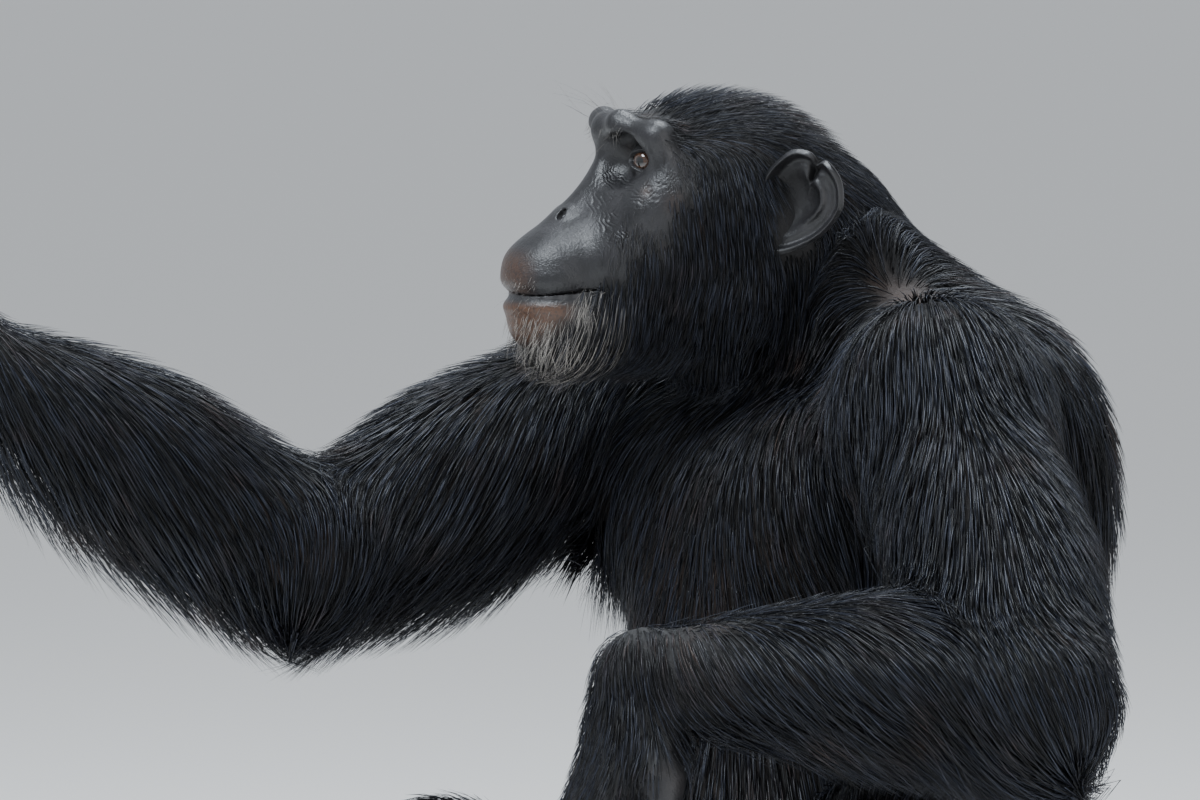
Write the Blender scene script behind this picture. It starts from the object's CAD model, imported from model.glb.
"""The looks of a life-size adult chimpanzee that sits on the ground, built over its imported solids.

One skin is drawn over the whole body from the same smooth forms as the solids. Over it lie tufts of
hair that follow the way a chimpanzee's coat runs, with eyes, ears and nails as pieces of their own.
"""

import math

import bmesh
import bpy
import numpy as np
from bpy.props import FloatProperty, FloatVectorProperty, IntProperty, PointerProperty
from mathutils import Matrix, Vector


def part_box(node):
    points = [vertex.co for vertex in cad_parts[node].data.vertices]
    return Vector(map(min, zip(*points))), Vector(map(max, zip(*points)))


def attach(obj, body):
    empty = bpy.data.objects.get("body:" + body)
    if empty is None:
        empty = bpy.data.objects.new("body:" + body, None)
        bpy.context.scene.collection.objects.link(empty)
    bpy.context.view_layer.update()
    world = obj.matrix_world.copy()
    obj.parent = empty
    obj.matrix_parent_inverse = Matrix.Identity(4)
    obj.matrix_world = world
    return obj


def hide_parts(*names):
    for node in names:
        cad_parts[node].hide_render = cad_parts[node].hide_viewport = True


bl_info = {
    "name": "Sitting chimpanzee",
    "version": (1, 0, 0),
    "blender": (4, 5, 0),
    "location": "View3D > Sidebar > Chimpanzee",
    "description": "Skin, coat, eyes, ears and nails of a life-size sitting chimpanzee",
    "category": "Add Mesh",
}

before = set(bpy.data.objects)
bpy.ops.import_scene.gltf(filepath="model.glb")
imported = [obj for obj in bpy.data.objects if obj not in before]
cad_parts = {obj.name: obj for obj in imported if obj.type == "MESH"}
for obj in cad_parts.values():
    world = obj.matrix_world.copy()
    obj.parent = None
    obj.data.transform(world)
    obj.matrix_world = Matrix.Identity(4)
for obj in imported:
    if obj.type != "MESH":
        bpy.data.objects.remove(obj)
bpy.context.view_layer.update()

# how the soft forms are read, in metres: blocks of space, how far a form is felt, and the steps to a surface
BLOCK = 0.06
BLOCK_KEYS = np.array((16384, 128, 1))
FORM_MARGIN = 0.05
SETTLE_STEP = 0.0004
FACING_STEP = 0.0006
LONGEST_MOVE = 0.012
FLATTEST_SLOPE = 0.05
TINY = 1e-9

# lowest heights of skin and hair, and how deep tufts and loose hairs are rooted
FLOOR = 0.0004
LOWEST_TUFT = 0.0008
ROOT_DEPTH = 0.0012
LOOSE_ROOT_DEPTH = 0.0008
# how far along a tuft its rings and tip stand
TUFT_SHARES = (0.32, 0.66, 1.0)

EYE_RADIUS = 0.0105
CORNEA_BULGE = 0.0007
CORNEA_SPAN = 0.48

HEAD_TURN = math.radians(-18)
HEAD_ORIGIN = Vector((0.0, -0.069, 0.665))

PELVIS = Vector((0.0, 0.010, 0.112))
NECK_ROOT = Vector((0.0, -0.005, 0.565))
NECK_TOP = Vector((0.0, -0.050, 0.640))

SHOULDER = {"left": Vector((0.156, -0.050, 0.558)), "right": Vector((-0.160, -0.074, 0.547))}
ELBOW = {"left": Vector((0.360, -0.112, 0.403)), "right": Vector((-0.094, -0.335, 0.466))}
WRIST = {"left": Vector((0.178, -0.260, 0.410)), "right": Vector((-0.143, -0.570, 0.605))}
HIP = {"left": Vector((0.085, 0.000, 0.105)), "right": Vector((-0.080, 0.000, 0.105))}
KNEE = {"left": Vector((0.240, -0.132, 0.300)), "right": Vector((-0.103, -0.238, 0.252))}
ANKLE = {"left": Vector((0.232, -0.185, 0.066)), "right": Vector((-0.125, -0.400, 0.066))}

HAND_WAY = {"left": Vector((-0.16, -0.26, -0.95)), "right": Vector((-0.13, -0.93, -0.34))}
HAND_BACK = {"left": Vector((-0.25, -0.97, 0.0)), "right": Vector((0.05, -0.34, 0.94))}
FINGER_CURL = {"left": (14, 24, 18), "right": (22, 30, 20)}
TOE_WAY = {"left": Vector((0.35, -0.94, 0.0)), "right": Vector((-0.25, -0.97, 0.0))}
FOREARM_FLAT = {"left": Vector((0.0, -0.1, 1.0)), "right": Vector((1.0, -0.2, 0.1))}
FOREARM_BULK = {"left": (0.041, 0.024), "right": (0.045, 0.034)}
FOREARM_LIFT = {"left": Vector((0.0, 0.0, 0.016)), "right": Vector((0.0, 0.0, 0.0))}
ELBOW_RADIUS = {"left": 0.031, "right": 0.034}
SIDES = ("left", "right")
UP = Vector((0, 0, 1))
SIGN = {"left": 1, "right": -1}
EAR_ROOT = (1.75, 5.85, 0.70)
EAR_WIDTH = 5.0
EAR_HEIGHT = 6.2
EAR_FLARE = math.radians(33)
EAR_NOTCH = 1.12
EYE_PLACE = (8.00, 2.75, 2.98)
MOUTH_CORNER = (11.6, 3.48, -4.52)
MOUTH_FRONT = (16.3, 0.0, -4.68)
MOUTH_DROOP = 0.32
NOSTRIL = (12.98, 1.08, -0.22)
CM = 0.01


def head_point(forward, left, up):
    """A place in the head's own frame, in centimetres from between the ear canals, as a world point."""
    local = Vector((left, -forward, up)) * CM
    return HEAD_ORIGIN + Matrix.Rotation(HEAD_TURN, 3, "Z") @ local


def distance_to(points, place):
    return np.linalg.norm(points - np.array(place), axis=1)


class Flesh:
    """A soft form as a smooth union of limbs and eggs. level() reads it as a distance in metres."""

    def __init__(self):
        self.forms, self.reach = [], []

    def limb(self, start, end, start_radius, end_radius, blend=0.015):
        self.forms.append(("limb", Vector(start), Vector(end), start_radius, end_radius, blend))

    def egg(self, centre, radii, turn=None, blend=0.015, carve=False):
        turn = (turn or Matrix.Identity(3)).to_3x3()
        self.forms.append(("carve" if carve else "egg", Vector(centre), Vector(radii), turn, None, blend))

    def level(self, points):
        """Signed distance, negative inside, read block by block with the forms that reach each block."""
        keys = (np.floor(points / BLOCK).astype(np.int64) + 64) @ BLOCK_KEYS
        order = np.argsort(keys, kind="stable")
        distance = np.empty(len(points))
        for block in np.split(order, np.flatnonzero(np.diff(keys[order])) + 1):
            distance[block] = self.level_near(points[block])
        return distance

    def level_near(self, points):
        """The distance in one block. Each form is only read near itself."""
        distance = np.full(len(points), 1.0)
        if len(self.reach) != len(self.forms):
            self.reach = [reach_of(form) for form in self.forms]
        low, high = points.min(0), points.max(0)
        middle, size = (low + high) / 2, np.linalg.norm(high - low) / 2
        away = distance_to(np.array([centre for centre, _ in self.reach]), middle)
        reached = away < np.array([extent for _, extent in self.reach]) + size
        for number in np.flatnonzero(reached):
            kind, first, second, third, fourth, blend = self.forms[number]
            centre, extent = self.reach[number]
            offset = points - centre
            near = np.einsum("ij,ij->i", offset, offset) < extent**2
            if not near.any():
                continue
            place = points[near]
            if kind == "limb":
                found = limb_distance(place, first, second, third, fourth)
            else:
                found = egg_distance(place, first, second, third)
            here = distance[near]
            if kind == "carve":
                distance[near] = -smooth_low(-here, found, blend)
            else:
                distance[near] = smooth_low(here, found, blend)
        return distance


def reach_of(form):
    """The middle of a form and how far from it the form can matter."""
    kind, first, second, third, fourth, blend = form
    if kind == "limb":
        half = (second - first).length / 2
        return np.array((first + second) / 2), half + max(third, fourth) + FORM_MARGIN + blend
    return np.array(first), max(second) + FORM_MARGIN + blend


def smooth_low(first, second, blend):
    """The lower of two distances, rounded over where they are about equal."""
    share = np.maximum(blend - np.abs(first - second), 0) / blend
    return np.minimum(first, second) - share**2 * blend / 4


def limb_distance(points, start, end, start_radius, end_radius):
    along = np.array(end - start)
    offset = points - np.array(start)
    share = np.clip(offset @ along / (along @ along), 0, 1)
    across = offset - share[:, None] * along
    return np.sqrt((across**2).sum(1)) - (start_radius + share * (end_radius - start_radius))


def egg_distance(points, centre, radii, turn):
    local = (points - np.array(centre)) @ np.array(turn) / np.array(radii)
    size = np.sqrt((local**2).sum(1)) + TINY
    slope = np.sqrt(((local / np.array(radii)) ** 2).sum(1)) + TINY
    return size * (size - 1) / slope


def rises(points, flesh, here, step):
    """How much the distance grows over a step along each axis."""
    return np.stack([flesh.level(points + step * axis) - here for axis in np.identity(3)], axis=1)


def settle(points, flesh, level, rounds):
    """Moves points on to the surface where the flesh has that level."""
    for _ in range(rounds):
        here = flesh.level(points)
        slope = rises(points, flesh, here, SETTLE_STEP) / SETTLE_STEP
        size = np.maximum((slope**2).sum(1), FLATTEST_SLOPE)
        move = ((here - level(points)) / size)[:, None] * slope
        length = np.sqrt((move**2).sum(1))
        points = points - move * np.minimum(1, LONGEST_MOVE / np.maximum(length, TINY))[:, None]
    return points


def rotation_to(way, up_hint):
    """A turn whose X axis lies along way and whose Z axis is as near as it can be to up_hint."""
    x = way.normalized()
    y = up_hint.cross(x).normalized()
    z = x.cross(y)
    return Matrix((x, y, z)).transposed()


def smoothstep(low, high, value):
    share = np.clip((value - low) / (high - low), 0, 1)
    return share * share * (3 - 2 * share)


def unit(vectors):
    return vectors / np.maximum(np.linalg.norm(vectors, axis=1), TINY)[:, None]


def add_torso(flesh):
    flesh.egg(PELVIS, (0.122, 0.108, 0.112), blend=0.03)
    for side in SIDES:
        flesh.egg((SIGN[side] * 0.060, 0.016, 0.082), (0.078, 0.080, 0.085), blend=0.03)
    flesh.egg((0.0, -0.027, 0.255), (0.146, 0.132, 0.150), blend=0.04)
    flesh.egg((0.0, -0.013, 0.420), (0.148, 0.121, 0.160), blend=0.05)
    flesh.egg((0.0, 0.016, 0.524), (0.120, 0.076, 0.078), blend=0.04)
    for side in SIDES:
        flesh.egg((SIGN[side] * 0.092, 0.041, 0.504), (0.070, 0.049, 0.096), blend=0.04)
        flesh.egg((SIGN[side] * 0.068, -0.084, 0.490), (0.078, 0.044, 0.062), blend=0.03)
    for side in SIDES:
        flesh.limb((SIGN[side] * 0.030, 0.016, 0.572), SHOULDER[side], 0.046, 0.042, blend=0.04)


def add_neck(flesh):
    flesh.limb(NECK_ROOT, NECK_TOP, 0.068, 0.060, blend=0.03)
    flesh.limb((0.0, 0.018, 0.572), head_point(-2.5, 0, -2.6), 0.044, 0.030, blend=0.03)


def add_arm(flesh, side):
    shoulder, elbow, wrist = SHOULDER[side], ELBOW[side], WRIST[side]
    upper, lower = (elbow - shoulder).normalized(), (wrist - elbow).normalized()
    outward = (upper - lower).normalized()
    flesh.egg(shoulder + upper * 0.012, (0.052, 0.052, 0.058), blend=0.03)
    flesh.limb(shoulder, elbow, 0.047, 0.038, blend=0.03)
    middle = shoulder.lerp(elbow, 0.50)
    flesh.egg(middle + outward * 0.014, (0.085, 0.043, 0.040), rotation_to(upper, outward), 0.03)
    flesh.egg(middle - outward * 0.012, (0.075, 0.037, 0.034), rotation_to(upper, outward), 0.03)
    wide, thin = FOREARM_BULK[side]
    rise = elbow.lerp(wrist, 0.4) + FOREARM_LIFT[side]
    middle_radius = ELBOW_RADIUS[side] * 0.6 + 0.009
    flesh.limb(elbow, rise, ELBOW_RADIUS[side], middle_radius, blend=0.02)
    flesh.limb(rise, wrist, middle_radius, 0.0225, blend=0.02)
    bulk = elbow.lerp(wrist, 0.36) + FOREARM_LIFT[side]
    flesh.egg(bulk, (0.105, wide, thin), rotation_to(lower, FOREARM_FLAT[side]), 0.03)


def hand_frame(side):
    way = HAND_WAY[side].normalized()
    turn = rotation_to(way, HAND_BACK[side])
    thumb = turn.col[1] * (-1 if side == "left" else 1) * -1
    return WRIST[side], turn.col[0].copy(), thumb, turn.col[2].copy()


def add_hand(flesh, side):
    """Palm, four long curled fingers and a short thumb."""
    wrist, way, thumb, back = hand_frame(side)

    def at(x, y, z):
        return wrist + way * x + thumb * y + back * z

    flesh.limb(wrist - (wrist - ELBOW[side]).normalized() * 0.03, wrist, 0.0275, 0.0255, blend=0.01)
    flesh.limb(wrist, at(0.030, 0, 0.001), 0.0250, 0.0230, blend=0.01)
    flesh.egg(at(0.055, 0.0, -0.003), (0.052, 0.034, 0.016), Matrix((way, thumb, back)).transposed(), 0.012)
    curl = [math.radians(angle) for angle in FINGER_CURL[side]]
    fingers = ((0.030, 0.096, 0.96), (0.011, 0.102, 1.08), (-0.009, 0.100, 1.04), (-0.028, 0.092, 0.88))
    for number, (across, reach, scale) in enumerate(fingers):
        knuckle = at(reach, across, 0.003)
        flesh.limb(at(0.028, across * 0.55, 0.002), knuckle, 0.0135, 0.0125, blend=0.010)
        place, turned = knuckle, math.radians(4 * number)
        radii = (0.0122, 0.0112, 0.0096, 0.0074)
        for joint, length in enumerate((0.046, 0.031, 0.022)):
            turned += curl[joint]
            bent = way * math.cos(turned) - back * math.sin(turned) + thumb * across * 1.2
            end = place + bent.normalized() * length * scale
            flesh.limb(place, end, radii[joint], radii[joint + 1], blend=0.003)
            place = end
    joints = ((0.022, 0.020, -0.006), (0.048, 0.041, -0.014), (0.076, 0.052, -0.021), (0.097, 0.056, -0.027))
    for number, radii in enumerate(((0.0155, 0.0125), (0.0120, 0.0100), (0.0098, 0.0078))):
        flesh.limb(at(*joints[number]), at(*joints[number + 1]), *radii, blend=0.006)


def add_thigh(flesh, side):
    hip, knee = HIP[side], KNEE[side]
    along = (knee - hip).normalized()
    flesh.limb(hip, knee, 0.072, 0.050, blend=0.03)
    flesh.egg(hip.lerp(knee, 0.42), (0.115, 0.068, 0.064), rotation_to(along, UP), 0.03)
    flesh.egg(knee, (0.050, 0.050, 0.050), blend=0.02)


def add_shin(flesh, side):
    knee, ankle = KNEE[side], ANKLE[side]
    along = (ankle - knee).normalized()
    behind = Vector((0, 1, 0))
    flesh.limb(knee.lerp(ankle, 0.10), ankle, 0.043, 0.030, blend=0.02)
    calf = knee.lerp(ankle, 0.42) + behind * 0.010
    flesh.egg(calf, (0.085, 0.042, 0.042), rotation_to(along, behind), 0.03)


def add_foot(flesh, side):
    """Heel, flat mid foot, four short curled toes and a big toe that stands off like a thumb."""
    ankle = ANKLE[side]
    way = TOE_WAY[side].normalized()
    inner = UP.cross(way) * -SIGN[side]

    def at(x, y, z):
        spot = ankle + way * x + inner * y
        return Vector((spot.x, spot.y, z))

    turn = Matrix((way, inner, UP)).transposed()
    flesh.limb(ankle + Vector((0, 0, 0.02)), at(-0.002, 0, 0.045), 0.031, 0.030, blend=0.015)
    flesh.egg(at(-0.036, 0.0, 0.028), (0.034, 0.027, 0.030), turn, 0.020)
    flesh.limb(at(0.0, 0.002, 0.045), at(0.060, 0.004, 0.030), 0.026, 0.022, blend=0.02)
    flesh.egg(at(0.045, -0.004, 0.022), (0.075, 0.036, 0.024), turn, 0.015)
    toes = ((0.026, 0.112, 1.00), (0.006, 0.116, 1.06), (-0.014, 0.108, 0.98), (-0.033, 0.095, 0.86))
    for across, reach, scale in toes:
        ball = at(reach, across, 0.0135)
        flesh.limb(at(0.050, across * 0.7, 0.020), ball, 0.0165, 0.0145, blend=0.012)
        bend = ball + way * 0.034 * scale + Vector((0, 0, 0.006))
        tip = bend + way * 0.020 * scale - Vector((0, 0, 0.009))
        flesh.limb(ball, bend, 0.0120, 0.0108, blend=0.004)
        flesh.limb(bend, tip, 0.0108, 0.0085, blend=0.003)
    joints = ((0.022, 0.018, 0.020), (0.066, 0.050, 0.0155), (0.100, 0.068, 0.0125), (0.124, 0.076, 0.0108))
    radii = (0.019, 0.0160, 0.0125, 0.0110)
    for number in range(3):
        flesh.limb(at(*joints[number]), at(*joints[number + 1]), *radii[number:number + 2], blend=0.008)


def both(flesh, forward, left, up, radii, **settings):
    """An egg on each side of the head, in centimetres, with its radii along forward, left and up."""
    for sign in (1, -1):
        head_egg(flesh, forward, sign * left, up, radii, **settings)


def head_egg(flesh, forward, left, up, radii, pitch=0, yaw=0, blend=1.0, carve=False):
    sign = -1 if left < 0 else 1
    frame = Matrix.Rotation(HEAD_TURN, 3, "Z") @ Matrix.Rotation(math.radians(yaw) * sign, 3, "Z")
    frame = frame @ Matrix.Rotation(math.radians(pitch), 3, "X")
    size = (radii[1] * CM, radii[0] * CM, radii[2] * CM)
    flesh.egg(head_point(forward, left, up), size, frame, blend * CM, carve)


def head_limb(flesh, start, end, start_radius, end_radius, blend=1.0, mirrored=True):
    for sign in (1, -1) if mirrored else (1,):
        first = head_point(start[0], start[1] * sign, start[2])
        last = head_point(end[0], end[1] * sign, end[2])
        flesh.limb(first, last, start_radius * CM, end_radius * CM, blend * CM)


def mouth_line(turn):
    """A point of the closed mouth, from the front at 0 to the corner of the left or right side at 1 or -1."""
    angle = turn * math.pi / 2
    forward = MOUTH_CORNER[0] + (MOUTH_FRONT[0] - MOUTH_CORNER[0]) * math.cos(angle)
    droop = -MOUTH_DROOP * math.sin(abs(angle) * 2)
    rise = (MOUTH_CORNER[2] - MOUTH_FRONT[2]) * abs(turn)
    return forward, MOUTH_CORNER[1] * math.sin(angle), MOUTH_FRONT[2] + rise + droop


def add_head(flesh):
    head_egg(flesh, 2.0, 0, 0.1, (5.5, 5.7, 6.0), blend=2)
    head_egg(flesh, 5.8, 0, 3.1, (4.4, 4.6, 3.0), blend=2)
    both(flesh, -0.4, 2.6, -1.6, (3.2, 3.1, 3.0), blend=2)
    both(flesh, 4.0, 4.6, 0.8, (3.8, 1.7, 3.4), blend=2)
    # brow ridge, a bar over both eyes
    head_limb(flesh, (9.90, 0, 4.85), (9.70, 2.4, 5.12), 0.86, 0.72, 0.7)
    head_limb(flesh, (9.70, 2.4, 5.12), (8.00, 4.75, 4.45), 0.74, 0.72, 0.8)
    head_limb(flesh, (8.00, 4.75, 4.45), (7.10, 5.30, 1.60), 0.72, 0.70, 1.2)
    # bridge between the eyes, cheek bones and the plate under the eyes
    head_limb(flesh, (9.70, 0, 4.4), (9.75, 0, 1.9), 0.85, 0.80, 0.9, mirrored=False)
    head_limb(flesh, (7.6, 4.6, 0.9), (3.6, 6.0, 0.1), 1.15, 0.9, 1.5)
    both(flesh, 8.3, 3.3, 0.1, (2.0, 2.5, 1.7), blend=1.5)
    head_egg(flesh, 7.0, 0, 0.0, (3.6, 4.0, 3.4), blend=2)
    # upper jaw, sloping forward, and the flat nose on it
    head_limb(flesh, (8.2, 0, -0.6), (12.3, 0, -2.9), 2.75, 2.55, 2.0, mirrored=False)
    head_limb(flesh, (9.0, 1.5, -2.4), (12.9, 1.20, -3.55), 2.5, 2.25, 1.5)
    head_egg(flesh, 13.9, 0, -3.75, (2.45, 2.75, 1.75), pitch=-18, blend=1.2)
    head_limb(flesh, (10.2, 0, 1.5), (12.3, 0, -0.85), 0.75, 0.95, 1.2, mirrored=False)
    both(flesh, 12.40, 0.90, -0.42, (0.66, 0.60, 0.58), blend=0.5)
    # lips and lower jaw
    head_egg(flesh, 12.9, 0, -4.10, (3.35, 3.42, 1.02), blend=0.7)
    head_egg(flesh, 12.8, 0, -5.65, (3.42, 3.32, 1.00), blend=0.6)
    head_egg(flesh, 12.9, 0, -6.9, (3.0, 2.7, 1.75), blend=1.2)
    head_limb(flesh, (12.6, 1.0, -6.9), (3.2, 4.3, -5.3), 1.65, 1.9, 1.5)
    head_limb(flesh, (3.2, 4.3, -5.3), (1.6, 4.8, -0.8), 1.9, 1.6, 1.5)
    both(flesh, 6.4, 3.9, -3.0, (4.2, 2.5, 3.2), blend=2)
    head_limb(flesh, (10.5, 0, -6.2), (3.5, 0, -6.2), 2.3, 3.2, 2.5, mirrored=False)


def add_openings(flesh):
    """Sockets, closed lids, nostrils and the line of the mouth, finer than in the solids."""
    forward, left, up = EYE_PLACE
    both(flesh, forward + 1.9, left - 0.1, up - 0.05, (1.35, 1.65, 1.25), blend=0.9, carve=True)
    both(flesh, forward + 1.2, left - 0.15, up + 1.15, (0.95, 1.25, 0.55), blend=0.6, carve=True)
    both(flesh, forward, left, up, (1.25, 1.27, 1.25), blend=0.30)
    both(flesh, *NOSTRIL, (0.42, 0.30, 0.34), pitch=35, yaw=25, blend=0.12, carve=True)
    steps = 12
    for number in range(-steps, steps):
        first, last = mouth_line(number / steps), mouth_line((number + 1) / steps)
        middle = [(a + b) / 2 for a, b in zip(first, last, strict=True)]
        heading = math.degrees(math.atan2(last[1] - first[1], first[0] - last[0]))
        sign = -1 if middle[1] < 0 else 1
        head_egg(
            flesh, *middle, (0.22, math.dist(first, last) * 1.1, 0.040), yaw=-(90 - heading) * sign,
            blend=0.10, carve=True,
        )


class Animal:
    """The whole body as one soft form: the trunk with arms, head and hands, and a leg on each side."""

    def __init__(self):
        self.trunk = Flesh()
        add_torso(self.trunk)
        add_neck(self.trunk)
        for side in SIDES:
            add_arm(self.trunk, side)
        add_head(self.trunk)
        add_openings(self.trunk)
        for side in SIDES:
            add_hand(self.trunk, side)
        self.legs = {}
        for side in SIDES:
            self.legs[side] = Flesh()
            add_thigh(self.legs[side], side)
            add_shin(self.legs[side], side)
            add_foot(self.legs[side], side)

    def level(self, points):
        """The trunk and legs run into each other at the hips and stay apart elsewhere."""
        found = self.trunk.level(points)
        for side, leg in self.legs.items():
            away = distance_to(points, HIP[side])
            blend = 0.003 + 0.034 * smoothstep(0.20, 0.08, away)
            found = smooth_low(found, leg.level(points), blend)
        return found


# folds as arcs seen from the side of the head, in centimetres: middle, reach, spacing, span of angles, depth
CREASES = (
    ((8.65, 3.15), (1.15, 3.1), 0.24, (20, -175), 0.060),
    ((8.40, 0.30), (1.80, 3.6), 0.23, (50, -105), 0.070),
)


def creases(points):
    """How deep the folds of the face press in at each point: under the eyes and beside the nose."""
    forward, left, up = in_head(points)
    depth = np.zeros(len(points))
    for (middle_forward, middle_up), (near, far), spacing, (first, last), deep in CREASES:
        away = np.hypot(forward - middle_forward, up - middle_up)
        angle = np.degrees(np.arctan2(up - middle_up, forward - middle_forward))
        share = smoothstep(near, near + 0.3, away) * smoothstep(far, far - 0.9, away)
        share *= smoothstep(first, first - 30, angle) * smoothstep(last, last + 30, angle)
        wander = 0.45 * np.sin(angle * 0.055 + 1.0) + 0.35 * np.sin(angle * 0.17 + away * 3.0)
        wander += 0.25 * np.sin(angle * 0.41 - away * 5.0)
        valley = 1 - np.abs(np.sin(math.pi * (away / spacing + wander)))
        broken = 0.55 + 0.45 * np.sin(angle * 0.23 + away * 4.0 + 2.0)
        depth += deep * CM * share * valley**1.6 * broken
    return depth * smoothstep(0.7, 1.2, np.abs(left))


def outward(points, flesh):
    """The surface's outward direction."""
    return unit(rises(points, flesh, flesh.level(points), FACING_STEP))


def frame_shift():
    """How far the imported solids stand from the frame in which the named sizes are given."""
    low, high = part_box("eye_left")
    return (low + high) / 2 - head_point(*EYE_PLACE)


def in_head(points):
    """Points in the head's own frame, in centimetres: forward, left and up."""
    local = (points - np.array(HEAD_ORIGIN)) @ np.array(Matrix.Rotation(HEAD_TURN, 3, "Z")) * 100
    return -local[:, 1], local[:, 0], local[:, 2]


def on_left(points):
    """Points in the head's own frame, those of its right side mirrored to the left."""
    forward, left, up = in_head(points)
    return np.stack([forward, np.abs(left), up], axis=1)


def from_head(forward, left, up):
    """Points of the head's own frame, in centimetres, as points of the body."""
    local = np.column_stack([left, -forward, up]) * CM
    return local @ np.array(Matrix.Rotation(HEAD_TURN, 3, "Z")).T + np.array(HEAD_ORIGIN)


# which way the opening of the lids faces, its half width and its height above and below as angles at the eye,
# and how far from the eye's middle the skin inside it sinks, in centimetres
LID_WAY = math.radians(49)
LID_SPAN = (0.92, 0.50, 0.40)
LID_DEPTH = 0.62


def open_lids(points):
    """Parts the lids: what lies inside their almond sinks into the eyeball."""
    forward, left, up = in_head(points)
    sign = np.where(left < 0, -1.0, 1.0)
    offset = np.stack([forward, left * sign, up], axis=1) - np.array(EYE_PLACE)
    ahead = offset[:, 0] * math.cos(LID_WAY) + offset[:, 1] * math.sin(LID_WAY)
    across = offset[:, 1] * math.cos(LID_WAY) - offset[:, 0] * math.sin(LID_WAY)
    away = np.linalg.norm(offset, axis=1)
    turn = np.arctan2(across, ahead) / LID_SPAN[0]
    lean = np.arctan2(offset[:, 2] + 0.10 * turn, np.hypot(ahead, across))
    tall = np.where(lean > 0, LID_SPAN[1], LID_SPAN[2]) * np.clip(1 - 0.35 * turn**2, 0.3, 1)
    almond = turn**2 + (lean / tall) ** 2
    inside = smoothstep(1.12, 0.92, almond) * (ahead > 0) * (away < 1.6)
    rim = 0.05 * np.exp(-(((almond - 1.35) / 0.22) ** 2)) * (ahead > 0) * (away < 1.6)
    scale = (1 - inside) * (1 + rim / np.maximum(away, 0.1)) + inside * LID_DEPTH / np.maximum(away, 0.1)
    place = np.array(EYE_PLACE) + offset * scale[:, None]
    return np.where((away < 1.7)[:, None], from_head(place[:, 0], place[:, 1] * sign, place[:, 2]), points)




def coords(mesh):
    found = np.empty(len(mesh.vertices) * 3)
    mesh.vertices.foreach_get("co", found)
    return found.reshape(-1, 3)


def set_coords(mesh, points):
    mesh.vertices.foreach_set("co", np.ascontiguousarray(points, dtype=np.float32).ravel())
    mesh.update()


def point_attribute(mesh, name, values):
    """A number at each vertex that a material can read."""
    layer = mesh.attributes.get(name) or mesh.attributes.new(name, "FLOAT", "POINT")
    layer.data.foreach_set("value", np.ascontiguousarray(values, dtype=np.float32))


def new_piece(name, mesh):
    made = bpy.data.objects.new(name, mesh)
    bpy.context.scene.collection.objects.link(made)
    return made


def to_piece(name, form):
    """Makes an object of a finished bmesh."""
    mesh = bpy.data.meshes.new(name)
    form.to_mesh(mesh)
    form.free()
    return new_piece(name, mesh)


def apply_all(made):
    """Applies the object's modifiers to its mesh."""
    graph = bpy.context.evaluated_depsgraph_get()
    mesh = bpy.data.meshes.new_from_object(made.evaluated_get(graph))
    made.modifiers.clear()
    made.data = mesh


def put_in_frame(made, material, replaces=()):
    """Moves a finished piece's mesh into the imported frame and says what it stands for."""
    made.data.transform(Matrix.Translation(frame_shift()))
    made.data.materials.clear()
    made.data.materials.append(material)
    made.data.shade_smooth()
    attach(made, "root")
    if replaces:
        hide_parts(*replaces)


def cover_forms(flesh, cover):
    """Plain spheres, cones and eggs standing where the flesh has its forms."""
    for kind, first, second, third, fourth, _ in flesh.forms:
        if kind == "carve":
            continue
        if kind == "egg":
            place = Matrix.Translation(first) @ third.to_4x4() @ Matrix.Diagonal((*second, 1))
            bmesh.ops.create_icosphere(cover, subdivisions=2, radius=1, matrix=place)
            continue
        for centre, radius in ((first, third), (second, fourth)):
            place = Matrix.Translation(centre)
            bmesh.ops.create_icosphere(cover, subdivisions=2, radius=radius, matrix=place)
        along = second - first
        turn = along.to_track_quat("Z", "Y").to_matrix().to_4x4()
        place = Matrix.Translation((first + second) / 2) @ turn
        bmesh.ops.create_cone(
            cover, cap_ends=True, segments=20, radius1=third, radius2=fourth, depth=along.length, matrix=place
        )


def in_face(points):
    """The bare face and its surroundings."""
    forward, _, up = in_head(points)
    near = distance_to(points, HEAD_ORIGIN) < 0.2
    return near & (forward > 6.0) & (up > -7.8) & (up < 6.6)


def near_features(points):
    """Close to the lids, the nostrils or the line of the mouth."""
    place = on_left(points)
    forward, left, up = place.T
    found = (distance_to(place, EYE_PLACE) < 2.1) & (forward > 7.6)
    found |= distance_to(place, (12.9, 1.0, -0.25)) < 0.9
    found |= (np.hypot(forward - 9.2, up - 0.9) < 2.6) & (left > 0.7)
    for number in range(25):
        found |= distance_to(place, mouth_line(number / 24)) < 0.5
    return found


def near_edges(points):
    """Right at the edges of the lids and the mouth."""
    place = on_left(points)
    found = distance_to(place, (8.9, 3.45, 2.95)) < 0.95
    for number in range(33):
        found |= distance_to(place, mouth_line(number / 32)) < 0.18
    return found | (distance_to(place, MOUTH_CORNER) < 0.5)


def refine(mesh, zone):
    """Splits the faces in a zone in four."""
    form = bmesh.new()
    form.from_mesh(mesh)
    inside = zone(coords(mesh))
    form.verts.ensure_lookup_table()
    faces = [face for face in form.faces if all(inside[vert.index] for vert in face.verts)]
    edges = list({edge for face in faces for edge in face.edges})
    bmesh.ops.subdivide_edges(form, edges=edges, cuts=1, use_grid_fill=True)
    form.to_mesh(mesh)
    form.free()


def at_skin(points):
    """The level of the skin itself, for settle."""
    return np.zeros(len(points))


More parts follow.
